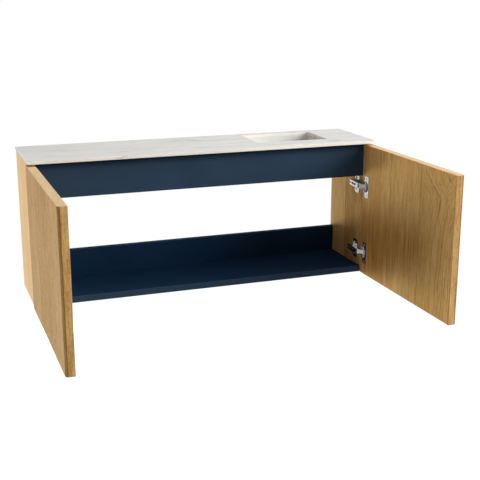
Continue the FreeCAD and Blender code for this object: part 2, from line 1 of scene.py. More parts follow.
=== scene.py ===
"""Looks of the wall-hung cloakroom vanity unit: materials, small pieces, light and camera."""
import bpy
import bmesh
import json
import math
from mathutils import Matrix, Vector


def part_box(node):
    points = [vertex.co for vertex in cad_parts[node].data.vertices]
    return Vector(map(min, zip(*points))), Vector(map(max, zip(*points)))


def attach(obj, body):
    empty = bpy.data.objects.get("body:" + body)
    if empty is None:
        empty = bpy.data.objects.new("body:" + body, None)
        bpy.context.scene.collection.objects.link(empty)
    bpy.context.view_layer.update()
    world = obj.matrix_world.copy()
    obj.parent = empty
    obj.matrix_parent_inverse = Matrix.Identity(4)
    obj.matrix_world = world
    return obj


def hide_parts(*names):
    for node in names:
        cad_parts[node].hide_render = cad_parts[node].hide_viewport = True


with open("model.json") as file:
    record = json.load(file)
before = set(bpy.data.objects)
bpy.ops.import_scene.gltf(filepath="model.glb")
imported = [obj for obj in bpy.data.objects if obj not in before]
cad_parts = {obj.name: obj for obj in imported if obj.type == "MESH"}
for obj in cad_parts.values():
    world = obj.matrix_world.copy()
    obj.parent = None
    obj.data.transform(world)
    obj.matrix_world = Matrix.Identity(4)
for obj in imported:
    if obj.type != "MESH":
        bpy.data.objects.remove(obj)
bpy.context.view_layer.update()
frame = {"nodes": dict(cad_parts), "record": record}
nodes = frame["nodes"]
subparts = frame["record"]["subparts"]
scene = bpy.context.scene


def srgb(red, green, blue):
    """Linear colour from the 0 to 255 values of a screen."""
    return tuple(c / 12.92 if c <= 0.04045 else ((c + 0.055) / 1.055) ** 2.4
                 for c in (red / 255, green / 255, blue / 255)) + (1.0,)


# Lengths in metres
BOARD_ROUND = 0.0006
STONE_ROUND = 0.0005
LEAF_WIDTH = 0.166
RING_WIDTH = 0.0175
FIGURE_WAIST = -0.030
# Height of the strip of painted shadow under an overhang
OVERHANG_STRIP = 0.030
SCREW_PITCH = 0.0016
SCREW_POINT = 0.003
PIPE_PITCH = 0.00231
PIPE_RIDGE = 0.0002
FLOOR_LEVEL = -0.80

# Colours
WHITE = (1.0, 1.0, 1.0, 1.0)
OAK_TONES = ((0.12, srgb(150, 110, 62)), (0.40, srgb(190, 150, 98)), (0.60, srgb(206, 168, 117)),
             (0.88, srgb(224, 190, 142)))
OAK_JOINT = srgb(120, 82, 40)
OAK_RING = srgb(112, 72, 28)
OAK_PORE = srgb(96, 62, 28)
# Colour of the painted shade on the right door's inner face
OAK_PAINTED_SHADE = srgb(134, 82, 18)
OAK_LIPPING = srgb(78, 50, 24)
OAK_WORN = srgb(240, 212, 168)
CHIP_TONES = ((0.0, srgb(142, 108, 70)), (0.4, srgb(188, 154, 108)), (1.0, srgb(222, 196, 152)))
# Navy of the faces inside the unit, darker and bluer than the outside navy: painted shade
PAINTED_SHADE_NAVY = (srgb(25, 50, 78), srgb(28, 55, 86))
OUTSIDE_NAVY = (srgb(47, 65, 84), srgb(52, 71, 92))
NAVY_DUST = srgb(90, 104, 122)
NAVY_WORN = srgb(92, 108, 128)
STONE_TONES = ((0.28, srgb(219, 218, 214)), (0.5, srgb(226, 225, 221)), (0.72, srgb(232, 230, 225)))
STONE_SHADE = srgb(196, 195, 192)
STONE_VEIN = srgb(160, 159, 157)
STONE_HAIR = srgb(172, 170, 166)
STONE_RUST = srgb(178, 160, 142)
STONE_GRAIN = srgb(170, 168, 164)
STONE_WORN = srgb(236, 234, 230)
METAL_STAIN = srgb(92, 88, 82)
METAL_SPANGLE = srgb(214, 218, 224)

# Multipliers of the oak's colour: sawn bevel, upright edges, pale veneer
OAK_CUT = (0.72, 0.66, 0.54, 1.0)
OAK_END = (1.12, 1.05, 0.84)
OAK_PALE = (1.42, 1.65, 2.12, 1.0)


class Paint:
    """A material and the few kinds of node that it is made from."""

    def __init__(self, name, **constants):
        self.material = bpy.data.materials.new(name)
        self.material.use_nodes = True
        self.tree = self.material.node_tree
        self.shader = self.tree.nodes["Principled BSDF"]
        for socket, value in constants.items():
            self.shader.inputs[socket.replace("_", " ")].default_value = value
        coords = self.tree.nodes.new("ShaderNodeTexCoord")
        self.point = coords.outputs["Object"]
        self.normal = coords.outputs["Normal"]

    def feed(self, socket, value):
        """Links a socket to another one, or sets it to a number."""
        if isinstance(value, bpy.types.NodeSocket):
            self.tree.links.new(value, socket)
        else:
            socket.default_value = value

    def math(self, operation, *values, clamp=False):
        node = self.tree.nodes.new("ShaderNodeMath")
        node.operation = operation
        node.use_clamp = clamp
        for socket, value in zip(node.inputs, values):
            self.feed(socket, value)
        return node.outputs[0]

    def add(self, *values):
        total = values[0]
        for value in values[1:]:
            total = self.math("ADD", total, value)
        return total

    def times(self, *values):
        total = values[0]
        for value in values[1:]:
            total = self.math("MULTIPLY", total, value)
        return total

    def about(self, value, *factors):
        """Value measured from one half, times some factors."""
        return self.times(self.add(value, -0.5), *factors)

    def from_middle(self, value):
        """How far a value is from the middle between two whole numbers."""
        return self.math("ABSOLUTE", self.add(self.math("FRACT", value), -0.5))

    def facing(self, part, least):
        """1 where a part of the normal is larger than a limit, either way."""
        return self.math("GREATER_THAN", self.math("ABSOLUTE", part), least)

    def split(self, vector):
        node = self.tree.nodes.new("ShaderNodeSeparateXYZ")
        self.feed(node.inputs[0], vector)
        return node.outputs[0], node.outputs[1], node.outputs[2]

    def vector(self, x, y, z):
        node = self.tree.nodes.new("ShaderNodeCombineXYZ")
        for socket, value in zip(node.inputs, (x, y, z)):
            self.feed(socket, value)
        return node.outputs[0]

    def scaled(self, vector, x, y, z):
        node = self.tree.nodes.new("ShaderNodeVectorMath")
        node.operation = "MULTIPLY"
        self.feed(node.inputs[0], vector)
        node.inputs[1].default_value = (x, y, z)
        return node.outputs[0]

    def noise(self, vector, scale=1.0, detail=2.0, roughness=0.5, distortion=0.0):
        node = self.tree.nodes.new("ShaderNodeTexNoise")
        self.feed(node.inputs["Vector"], vector)
        node.inputs["Scale"].default_value = scale
        node.inputs["Detail"].default_value = detail
        node.inputs["Roughness"].default_value = roughness
        node.inputs["Distortion"].default_value = distortion
        return node.outputs["Fac"]

    def grain(self, axes, waves, detail=2.0, roughness=0.5, distortion=0.0):
        """Noise with its own count of waves to the metre along two or three axes; a third axis may be bare."""
        stretched = [self.times(axis, count) for axis, count in zip(axes, waves)]
        return self.noise(self.vector(*stretched, *axes[len(waves):]), 1.0, detail, roughness, distortion)

    def cells(self, vector, scale):
        """A number of its own for each cell of a network."""
        node = self.tree.nodes.new("ShaderNodeTexVoronoi")
        self.feed(node.inputs["Vector"], vector)
        node.inputs["Scale"].default_value = scale
        return self.split(node.outputs["Color"])[0]

    def ranged(self, value, low, high, to_low=0.0, to_high=1.0):
        """Value between low and high, stretched smoothly to another range and held at its ends."""
        node = self.tree.nodes.new("ShaderNodeMapRange")
        node.interpolation_type = "SMOOTHSTEP"
        self.feed(node.inputs["Value"], value)
        for socket, number in zip(("From Min", "From Max", "To Min", "To Max"), (low, high, to_low, to_high)):
            node.inputs[socket].default_value = number
        return node.outputs[0]

    def between(self, factor, first, second):
        """One number, or the other where the factor is 1."""
        node = self.tree.nodes.new("ShaderNodeMix")
        self.feed(node.inputs[0], factor)
        self.feed(node.inputs[2], first)
        self.feed(node.inputs[3], second)
        return node.outputs[0]

    def mixed(self, factor, first, second, how="MIX"):
        """Two colours mixed."""
        node = self.tree.nodes.new("ShaderNodeMix")
        node.data_type = "RGBA"
        node.blend_type = how
        self.feed(node.inputs[0], factor)
        self.feed(node.inputs[6], first)
        self.feed(node.inputs[7], second)
        return node.outputs[2]

    def ramp(self, factor, *stops):
        """Colours or grey levels at places between 0 and 1."""
        node = self.tree.nodes.new("ShaderNodeValToRGB")
        while len(node.color_ramp.elements) < len(stops):
            node.color_ramp.elements.new(1.0)
        for element, (place, colour) in zip(node.color_ramp.elements, stops):
            element.position = place
            element.color = colour if isinstance(colour, tuple) else (colour, colour, colour, 1.0)
        self.feed(node.inputs[0], factor)
        return node.outputs[0]

    def rubbed(self, board, width=0.0016):
        """1 along the edges of a board that fills a node's box, frayed, and 0 a little way in from them."""
        gaps = []
        for place, low, high in zip(self.split(self.point), *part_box(board)):
            off = self.math("ABSOLUTE", self.add(place, -(low + high) / 2))
            gaps.append(self.add((high - low) / 2, self.times(off, -1.0)))
        least, most = (self.math(pick, gaps[0], gaps[1]) for pick in ("MINIMUM", "MAXIMUM"))
        second = self.math("MAXIMUM", least, self.math("MINIMUM", most, gaps[2]))
        fray = self.about(self.noise(self.point, 240.0, 3.0), 2.0 * width)
        return self.ranged(self.add(second, fray), 0.2 * width, width, 1.0, 0.0)

    def bump(self, height, distance, strength):
        node = self.tree.nodes.new("ShaderNodeBump")
        node.inputs["Distance"].default_value = distance
        node.inputs["Strength"].default_value = strength
        self.feed(node.inputs["Height"], height)
        self.feed(self.shader.inputs["Normal"], node.outputs[0])

    def colour(self, value):
        self.feed(self.shader.inputs["Base Color"], value)

    def roughness(self, value):
        self.feed(self.shader.inputs["Roughness"], value)


def oak(board, seed, centre, left, right, end=1.0, figure=1.0, sweep=0.0, ripple=0.0, leaf_start=0.0,
        leaf_step=0.0, shade_band=0.0, blue=1.0, line=None, pale_face=0, raw_rear=False):
    """Oak veneer with upright grain on the broad faces and banded edges, for one board.

    centre: middle of the pointed figure on the broad faces, along Y, and sweep: its shift near the top
    left, right, end: tone of the broad faces that look to the left and to the right, and of the upright edges;
    painted light and shade, set for how the lamps light each side
    figure: strength of the growth rings, ripple: of the silver grain
    heart: strength of the painted shade on the face that looks to the left: a darker band low down and a darker
    upper corner, both by the hinge, streaked along the grain
    leaf_start, leaf_step: where a joint between two veneer leaves lies, and how far the leaves differ in tone
    blue: share of blue that the broad faces keep, apart from the pale face; less gives a warmer board, here as
    painted shade
    line: X of the dark joint between lipping and face
    pale_face: the broad face, by the sign of its X, that is of paler veneer like the flat edges
    raw_rear: the rear edge shows the chipboard core
    """
    p = Paint("oak_" + board, Specular_IOR_Level=0.03)
    x, y, z = p.split(p.point)
    nx, ny, nz = p.split(p.normal)
    flat_edge = p.facing(nz, 0.6)
    face = p.facing(nx, 0.6)
    upright_edge = p.facing(ny, 0.9)
    cut = p.times(face, p.facing(ny, 0.4))
    rightward = p.math("GREATER_THAN", nx, 0.0)
    elsewhere = p.add(x, 3.7)
    across = p.between(face, elsewhere, y)
    along = p.between(flat_edge, z, y)

    # Veneer leaves, each with its own tone and its own place in the log
    leaf_place = p.times(p.add(across, -leaf_start), 1 / LEAF_WIDTH)
    leaf_number = p.math("FLOOR", leaf_place)
    leaf_key = p.times(p.add(leaf_number, p.times(rightward, 5.0), seed), 1.37)
    leaf_tone = p.noise(p.vector(leaf_key, 0.5, seed), 1.0, 0.0)
    odd_leaf = p.times(p.math("FRACT", p.times(leaf_number, 0.5)), 2.0)
    leaf_joint = p.ranged(p.from_middle(leaf_place), 0.485, 0.496)

    # Growth rings: pointed figure about the centre, narrow at its waist, with straight lines beside it
    slow = p.vector(across, p.times(along, 0.35), p.add(leaf_key, seed))
    sway = p.about(p.noise(slow, 13.0), 0.030)
    quick = p.vector(across, p.times(along, 0.5), seed)
    shake = p.about(p.noise(quick, 110.0), 0.009)
    shift = p.times(p.ranged(along, FIGURE_WAIST - 0.04, FIGURE_WAIST + 0.03), -sweep)
    beside = p.add(across, -centre, shift)
    radius = p.math("SQRT", p.add(p.times(beside, beside), 0.000012))
    rise = p.math("MAXIMUM", p.add(along, -FIGURE_WAIST), 0.0)
    fall = p.math("MAXIMUM", p.add(p.times(along, -1.0), FIGURE_WAIST), 0.0)
    fall_spread = p.math("DIVIDE", p.times(fall, 1.9), p.add(1.0, p.times(fall, 24.0)))
    spread = p.add(p.times(rise, 0.95), fall_spread)
    rings = p.add(radius, p.times(spread, -1.0), sway, shake)
    uneven_years = p.noise(p.vector(p.times(rings, 45.0), seed, 0.5), 1.0, 1.0)
    turn = p.math("FRACT", p.add(p.times(rings, 1 / RING_WIDTH), p.times(uneven_years, 2.2)))
    ring_line = p.ramp(turn, (0.0, 0.30), (0.06, 1.0), (0.20, 0.75), (0.36, 0.0), (0.94, 0.0), (1.0, 0.30))
    near = p.ranged(radius, 0.06, 0.16, 1.0, 0.10)
    wood = (across, along, leaf_key)
    broken = p.ranged(p.grain(wood, (60.0, 14.0)), 0.36, 0.60)
    rings_seen = p.times(ring_line, near, p.between(broken, 0.30, 1.0), figure)

    # Fibres, pores and slow bands
    fibre = p.grain(wood, (330.0, 20.0), 3.0, 0.65)
    streak = p.grain(wood, (110.0, 7.0), 2.0, 0.55)
    band = p.grain(wood, (20.0, 1.4), 1.0)
    pore_noise = p.grain(wood, (1500.0, 55.0), 1.0)
    pores = p.times(p.ranged(pore_noise, 0.60, 0.74), p.add(0.35, p.times(ring_line, 0.65)))

    # Light and dark of the wood, calmer on pale veneer and mottled on upright edges
    pale = flat_edge
    if pale_face:
        pale = p.math("MAXIMUM", flat_edge, p.math("GREATER_THAN", p.times(nx, pale_face), 0.6))
    calm = p.between(pale, 1.0, 0.30)
    uneven = p.add(p.about(fibre, 0.90), p.about(streak, 0.40), p.about(band, 0.30), p.about(leaf_tone, 0.20),
                   p.times(odd_leaf, -leaf_step))
    level = p.add(0.5, p.times(uneven, calm))
    if ripple:
        # Silver grain: lighter flecks that lie across the fibres, a little slanted
        slant = p.add(along, p.times(across, 0.30))
        fleck = p.grain((across, slant, leaf_key), (90.0, 210.0), 3.0, 0.6, 0.8)
        patchy = p.ranged(p.grain((across, along, seed), (30.0, 18.0), 1.0), 0.35, 0.65)
        level = p.add(level, p.about(p.ranged(fleck, 0.42, 0.66), patchy, ripple, face))
    mottle = p.noise(p.scaled(p.point, 1.0, 1.0, 0.35), 420.0, 2.0, 0.6)
    blotch = p.noise(p.scaled(p.point, 1.0, 1.0, 0.2), 90.0)
    level = p.add(level, p.about(mottle, upright_edge, 0.7), p.about(blotch, upright_edge, 0.7))

    # Colour
    colour = p.ramp(level, *OAK_TONES)
    colour = p.mixed(p.times(leaf_joint, face, 0.35), colour, OAK_JOINT)
    colour = p.mixed(p.times(rings_seen, 0.62), colour, OAK_RING)
    colour = p.mixed(p.times(pores, 0.50), colour, OAK_PORE)
    # Painted shade on the face that looks to the left: a darker band low down and a darker upper corner, both by
    # the hinge, streaked along the grain
    if shade_band:
        foot = p.add(z, 0.42, p.times(p.add(y, 0.25), 0.45))
        low = p.times(p.ranged(z, -0.06, -0.19), p.ranged(foot, 0.0, 0.11), p.ranged(y, -0.66, -0.50))
        high = p.times(p.ranged(z, -0.04, 0.02), p.ranged(y, -0.42, -0.26), 0.55)
        shade_streaks = p.grain((across, along, 4.0 + seed), (105.0, 4.2), 3.0, 0.6)
        dark = p.times(p.math("MAXIMUM", low, high), p.ranged(shade_streaks, 0.30, 0.66, 0.45, 1.0),
                       p.math("LESS_THAN", nx, -0.6), shade_band)
        colour = p.mixed(dark, colour, OAK_PAINTED_SHADE)
    if line is not None:
        joint = p.ranged(p.math("ABSOLUTE", p.add(x, -line)), 0.0004, 0.0009, 1.0, 0.0)
        colour = p.mixed(p.times(joint, upright_edge, 0.75), colour, OAK_LIPPING)
    colour = p.mixed(cut, colour, OAK_CUT, "MULTIPLY")
    # Upright edges: their own tone, times end, which is painted light set per board
    colour = p.mixed(upright_edge, colour, tuple(end * share for share in OAK_END) + (1.0,), "MULTIPLY")
    colour = p.mixed(pale, colour, OAK_PALE, "MULTIPLY")
    # Painted light and shade: each broad face gets its own tone for how the lamps light that side, and blue below
    # 1 warms it as painted shade
    tone = p.between(face, 1.0, p.between(rightward, left, right))
    warm_face = p.math("SUBTRACT", face, pale, clamp=True)
    blue_tone = p.times(p.math("POWER", tone, 0.5), p.between(warm_face, 1.0, blue))
    colour = p.mixed(1.0, colour, p.vector(tone, p.math("POWER", tone, 0.85), blue_tone), "MULTIPLY")
    colour = p.mixed(p.times(p.rubbed(board), 0.22), colour, OAK_WORN)
    if raw_rear:
        core = p.ramp(p.cells(p.scaled(p.point, 1.0, 1.0, 0.45), 420.0), *CHIP_TONES)
        colour = p.mixed(p.math("GREATER_THAN", ny, 0.9), colour, core)
    p.colour(colour)
    p.roughness(p.add(0.50, p.times(fibre, 0.14), p.times(pores, 0.2)))
    p.bump(p.add(p.times(fibre, 0.5), p.times(pores, -1.0), p.times(rings_seen, -0.4)), 0.00018, 0.6)
    return p.material


def lacquer(board, low, high, rim=None, rim_front=True, overhang_shadow=1.0):
    """Smooth navy paint, a little uneven, with a fine orange-peel skin.

    rim: tint of front, rear and underside, and rim_front: whether the front has it; where low and high hold a
    navy in painted shade, rim is the plain navy
    dim: how dark the upper strip is painted, a painted shadow under an overhang
    """
    p = Paint("navy_" + board, Specular_IOR_Level=0.01)
    cloud = p.noise(p.point, 5.0, 3.0)
    dust = p.ranged(p.noise(p.point, 900.0, 1.0), 0.70, 0.80)
    tint = p.ramp(cloud, (0.3, low), (0.7, high))
    if rim:
        _, ny, nz = p.split(p.normal)
        within = p.times(p.math("LESS_THAN", p.math("ABSOLUTE", ny), 0.9), p.math("GREATER_THAN", nz, -0.9))
        if not rim_front:
            within = p.math("MAXIMUM", within, p.math("LESS_THAN", ny, -0.9))
        tint = p.mixed(within, rim, tint)
    # Painted shadow: the upper strip darkens towards the top, as under an overhang
    if overhang_shadow < 1.0:
        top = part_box(board)[1][2]
        shadow_strip = p.ranged(p.split(p.point)[2], top - OVERHANG_STRIP, top, 1.0, overhang_shadow)
        tint = p.mixed(1.0, tint, p.vector(shadow_strip, shadow_strip, shadow_strip), "MULTIPLY")
    tint = p.mixed(p.times(dust, 0.10), tint, NAVY_DUST)
    p.colour(p.mixed(p.times(p.rubbed(board), 0.25), tint, NAVY_WORN))
    p.roughness(p.add(0.54, p.times(p.noise(p.point, 14.0), 0.12)))
    p.bump(p.noise(p.point, 420.0), 0.00012, 0.35)
    return p.material


def marble(slab, tone=WHITE, edge=None):
    """Pale honed stone with clouds, long thin grey veins and two rusty spots; edge is a lighter tint of the
    front, a painted highlight.
    """
    p = Paint("marble_" + slab, Specular_IOR_Level=0.04)
    x, y, z = p.split(p.point)
    stone = (x, y, z)
    cloud = p.grain(stone, (7.0, 22.0, 14.0), 4.0, 0.6)
    drift = p.grain(stone, (2.2, 5.0, 5.0), 3.0, 0.55)
    jag = p.times(p.grain(stone, (22.0, 40.0, 40.0), 4.0, 0.6), 0.40)
    lane = p.add(p.times(y, 15.0), p.times(z, 9.0), p.times(drift, 3.4), jag)
    from_vein = p.from_middle(lane)
    where = p.ranged(p.grain(stone, (5.0, 9.0)), 0.38, 0.62)
    vein = p.times(p.ranged(from_vein, 0.006, 0.034, 1.0, 0.0), where)
    thin = p.ranged(p.from_middle(p.times(lane, 2.7)), 0.0, 0.035, 1.0, 0.0)
    hair = p.times(thin, p.ranged(cloud, 0.46, 0.62))
    soft = p.times(p.ranged(from_vein, 0.0, 0.28, 1.0, 0.0), where)
    speck = p.noise(p.point, 700.0)
    colour = p.ramp(cloud, *STONE_TONES)
    colour = p.mixed(p.times(soft, 0.30), colour, STONE_SHADE)
    colour = p.mixed(p.times(vein, 0.55), colour, STONE_VEIN)
    colour = p.mixed(p.times(hair, 0.22), colour, STONE_HAIR)
    for spot_x, spot_y in ((0.335, -0.014), (0.385, -0.205)):
        away = p.math("SQRT", p.add(p.math("POWER", p.add(x, -spot_x), 2.0),
                                    p.math("POWER", p.times(p.add(y, -spot_y), 2.2), 2.0)))
        rust = p.times(p.ranged(away, 0.006, 0.034, 1.0, 0.0), p.ranged(cloud, 0.35, 0.60, 0.3, 1.0))
        colour = p.mixed(p.times(rust, 0.5), colour, STONE_RUST)
    colour = p.mixed(p.times(p.ranged(speck, 0.55, 0.75), 0.12), colour, STONE_GRAIN)
    colour = p.mixed(1.0, colour, tone, "MULTIPLY")
    # Painted highlight: the front faces get a lighter tint
    if edge:
        front = p.math("LESS_THAN", p.split(p.normal)[1], -0.5)
        colour = p.mixed(front, colour, edge, "MULTIPLY")
    p.colour(p.mixed(p.times(p.rubbed(slab, 0.0012), 0.5), colour, STONE_WORN))
    p.roughness(p.add(0.54, p.times(cloud, 0.14)))
    p.bump(p.add(p.times(speck, 0.4), p.times(vein, -0.6)), 0.00008, 0.5)
    return p.material


def metal(name, colour, rough, spread, brushed=(1.0, 1.0, 1.0), stain=0.12, spangle=0.0, body=1.0):
    """Plated or machined metal: scratches, cloudy gloss and a thin stain; body is how metallic it is."""
    p = Paint(name, Metallic=body)
    scratch = p.noise(p.scaled(p.point, *brushed), 600.0)
    cloud = p.noise(p.point, 90.0, 3.0)
    shade = p.mixed(p.times(p.ranged(cloud, 0.45, 0.75), stain), colour, METAL_STAIN)
    if spangle:
        shade = p.mixed(p.times(p.cells(p.point, 260.0), spangle), shade, METAL_SPANGLE)
    p.colour(shade)
    p.roughness(p.add(rough, p.times(scratch, spread), p.times(cloud, spread)))
    p.bump(scratch, 0.00004, 0.4)
    return p.material


def rubber():
    """Black rubber with a finely uneven skin."""
    p = Paint("black_rubber", Roughness=0.7)
    skin = p.noise(p.point, 500.0, 3.0)
    p.colour(p.ramp(skin, (0.3, srgb(22, 22, 23)), (0.7, srgb(40, 40, 41))))
    p.bump(skin, 0.0001, 0.5)
    return p.material


def beech():
    """Raw beech with its grain along X and short brown flecks."""
    p = Paint("beech", Roughness=0.6)
    wood = p.split(p.point)
    fibre = p.grain(wood, (40.0, 900.0, 900.0))
    fleck = p.ranged(p.grain(wood, (180.0, 1500.0, 1500.0)), 0.6, 0.7)
    tones = p.ramp(fibre, (0.3, srgb(196, 158, 116)), (0.7, srgb(224, 190, 148)))
    p.colour(p.mixed(p.times(fleck, 0.5), tones, srgb(150, 106, 66)))
    p.bump(fibre, 0.0001, 0.5)
    return p.material


# Which node has which material
door_line = 0.4955
door_end = -0.716
panel_joint = -0.103
paints = {
    # Oak tones per face and edge (left, right, end) and blue are painted light and shade
    "door_left": oak("door_left", 3.0, -0.90, 0.88, 0.76, ripple=0.22, leaf_start=door_end, line=-door_line),
    # Right door: painted shade on its inner face as well
    "door_right": oak("door_right", 11.0, -0.736, 1.15, 0.78, end=0.86, ripple=0.06, sweep=0.045,
                      leaf_start=door_end, shade_band=0.74, blue=0.86, line=door_line),
    "side_panel_left": oak("side_panel_left", 19.0, -0.60, 1.07, 0.90, figure=0.4, leaf_start=panel_joint,
                           leaf_step=0.2, pale_face=-1, raw_rear=True),
    "side_panel_right": oak("side_panel_right", 27.0, -0.60, 1.05, 0.80, figure=0.4, leaf_start=panel_joint,
                            leaf_step=0.2, blue=0.88, pale_face=1, raw_rear=True),
    # Shelf and lower rail: faces inside the unit in the painted shade navy, the rest in plain navy
    "rear_lower_rail": lacquer("rear_lower_rail", *PAINTED_SHADE_NAVY, rim=OUTSIDE_NAVY[1], rim_front=False),
    "bottom_shelf": lacquer("bottom_shelf", *PAINTED_SHADE_NAVY, rim=OUTSIDE_NAVY[1]),
    # Front apron: painted shadow along its upper strip, under the top's overhang
    "front_apron": lacquer("front_apron", *OUTSIDE_NAVY, overhang_shadow=0.32),
    # Top: painted highlight on its front faces
    "stone_top": marble("stone_top", edge=(1.14, 1.10, 1.05, 1.0)),
    "bowl_ramp": marble("bowl_ramp", (0.97, 0.945, 0.90, 1.0)),
    # Bowl end wall: darker, warmer tone as painted shade
    "bowl_end_wall": marble("bowl_end_wall", (0.79, 0.76, 0.71, 1.0)),
}
for row in subparts:
    if row["node"] not in paints and row["material_slot"] == "navy_lacquer":
        paints[row["node"]] = lacquer(row["node"], *OUTSIDE_NAVY)
    elif row["node"] not in paints and row["material_slot"] == "marble":
        paints[row["node"]] = marble(row["node"])
slot_paint = {
    "chrome": metal("chrome", srgb(228, 230, 232), 0.05, 0.05),
    "rubber": rubber(),
    "brass": metal("machined_brass", srgb(214, 176, 104), 0.22, 0.12, (1.0, 1.0, 12.0)),
    "beech": beech(),
    "zinc": metal("zinc_plate", srgb(184, 188, 194), 0.30, 0.16, stain=0.2, spangle=0.35),
    "nickel_steel": metal("nickel_plate", srgb(190, 190, 189), 0.10, 0.10, (1.0, 8.0, 1.0)),
}
for place in ("left_upper", "right_upper", "left_lower", "right_lower"):
    paints["hinge_link_" + place] = metal("satin_link_" + place, srgb(160, 164, 174), 0.26, 0.12,
                                          (1.0, 1.0, 8.0))
    paints["hinge_cup_" + place] = metal("satin_cup_" + place, srgb(196, 196, 196), 0.12, 0.10,
                                         (1.0, 8.0, 1.0), body=0.96)
for row in subparts:
    node = nodes[row["node"]]
    node.data.materials.clear()
    node.data.materials.append(paints.get(row["node"]) or slot_paint[row["material_slot"]])


# Softened edges of the boards and the top
def soften(node, width):
    """Rounds the sharp edges of a node, once its faces are joined again."""
    weld = nodes[node].modifiers.new("join", "WELD")
    weld.merge_threshold = 0.00001
    plain = nodes[node].modifiers.new("plain", "DECIMATE")
    plain.decimate_type = "DISSOLVE"
    plain.angle_limit = math.radians(1.0)
    bevel = nodes[node].modifiers.new("edge", "BEVEL")
    bevel.width = width
    bevel.segments = 2
    bevel.limit_method = "ANGLE"
    bevel.angle_limit = math.radians(50.0)
    bevel.use_clamp_overlap = False


for row in subparts:
    if row["material_slot"] in ("oak_veneer", "navy_lacquer") and row["node"] != "bottom_shelf":
        soften(row["node"], BOARD_ROUND)
soften("stone_top", STONE_ROUND)


# Screws, with heads, driver recesses and threads, in place of the plain ones
def solids(node):
    """The corners of each separate solid of a node."""
    shape = bmesh.new()
    shape.from_mesh(nodes[node].data)
    bmesh.ops.remove_doubles(shape, verts=shape.verts, dist=0.000001)
    found = []
    for first in shape.verts:
        if first.tag:
            continue
        first.tag = True
        group = [first]
        for corner in group:
            for edge in corner.link_edges:
                other = edge.other_vert(corner)
                if not other.tag:
                    other.tag = True
                    group.append(other)
        found.append([corner.co.copy() for corner in group])
    shape.free()
    return found


def seat(corners, axis):
    """Middle of a screw's outer face, the way out of the hole, the head's radius and the length."""
    low = Vector([min(c[i] for c in corners) for i in range(3)])
    high = Vector([max(c[i] for c in corners) for i in range(3)])
    if axis is None:
        axis = max(range(3), key=lambda i: high[i] - low[i])
    middle = (low + high) / 2
    ends = []
    for level, way in ((low[axis], -1.0), (high[axis], 1.0)):
        rim = [c - middle for c in corners if abs(c[axis] - level) < 0.0001]
        ends.append((max(math.hypot(c[axis - 1], c[axis - 2]) for c in rim), level, way))
    radius, level, way = max(ends)
    middle[axis] = level
    out = Vector((0.0, 0.0, 0.0))
    out[axis] = way
    return middle, out, radius, high[axis] - low[axis]


def pan_head(length):
    """Rings of a domed head on a threaded shank: share of the head's radius and depth below its top."""
    dome = [(0.62, 0.0), (0.82, 0.00018), (0.94, 0.0006), (1.0, 0.0011), (1.0, 0.0019), (0.94, 0.002)]
    return dome + thread(0.002, length)


def sunk_head(length):
    """Rings of a flat countersunk head on a threaded shank."""
    return [(0.94, 0.0), (1.0, 0.0002), (0.62, 0.0013)] + thread(0.0014, length)


def set_head(length):
    """Rings of the low head of a set screw on a smooth shank."""
    shank = 0.588
    rim = [(0.90, 0.0), (1.0, 0.0003), (1.0, 0.0016)]
    return rim + [(shank, 0.0016), (shank, length - 0.0004), (0.45, length)]


def thread(start, length, crest=0.5, root=0.38):
    """Rings of a wood screw's thread down to its point."""
    turns = int((length - start - SCREW_POINT) / SCREW_PITCH)
    rings = [(root, start)]
    for turn in range(turns):
        depth = start + SCREW_PITCH * (turn + 0.5)
        rings += [(root, depth), (crest, depth + 0.25 * SCREW_PITCH), (root, depth + 0.5 * SCREW_PITCH)]
    return rings + [(root, length - SCREW_POINT), (0.06, length)]


def cross(reach, half):
    """Outline of a cross-shaped recess: reach and half width of its arms, as shares of the head's radius."""
    return [(reach, half), (half, half), (half, reach), (-half, reach), (-half, half), (-reach, half),
            (-reach, -half), (-half, -half), (-half, -reach), (half, -reach), (half, -half), (reach, -half)]


def add_screw(shape, corners, axis, head, recess, depth):
    """Adds one screw to a mesh: a recessed top, then rings down to the tip."""
    middle, out, radius, length = seat(corners, axis)
    side = out.orthogonal().normalized()
    other = out.cross(side)
    sides = 20
    foot_share = 0.7

    def point(u, v, below):
        return shape.verts.new(middle + side * u + other * v - out * below)

    def loop(points):
        return [shape.edges.new((a, b)) for a, b in zip(points, points[1:] + points[:1])]

    def wall(upper, lower):
        for i in range(len(upper)):
            j = (i + 1) % len(upper)
            shape.faces.new((upper[i], upper[j], lower[j], lower[i]))

    turns = [math.tau * i / sides for i in range(sides)]
    rings = []
    for share, below in head(length):
        ring = [(share * radius * math.cos(t), share * radius * math.sin(t)) for t in turns]
        rings.append([point(u, v, below) for u, v in ring])
    mouth = [point(u * radius, v * radius, 0.0) for u, v in recess]
    foot = [point(foot_share * u * radius, foot_share * v * radius, depth) for u, v in recess]
    bmesh.ops.triangle_fill(shape, use_beauty=True, use_dissolve=False, edges=loop(rings[0]) + loop(mouth))
    wall(mouth, foot)
    shape.faces.new(foot)
    for upper, lower in zip(rings, rings[1:]):
        wall(upper, lower)
    shape.faces.new(rings[-1])


def piece(name, shape, body, slot, paint, *stands_for):
    """Makes an object of a mesh, which rides on a body and may stand for nodes of the frame."""
    bmesh.ops.recalc_face_normals(shape, faces=shape.faces)
    mesh = bpy.data.meshes.new(name)
    shape.to_mesh(mesh)
    shape.free()
    mesh.polygons.foreach_set("use_smooth", [True] * len(mesh.polygons))
    mesh.set_sharp_from_angle(angle=math.radians(38.0))
    mesh.materials.append(paint)
    made = bpy.data.objects.new(name, mesh)
    scene.collection.objects.link(made)
    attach(made, body)
    if stands_for:
        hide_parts(*stands_for)


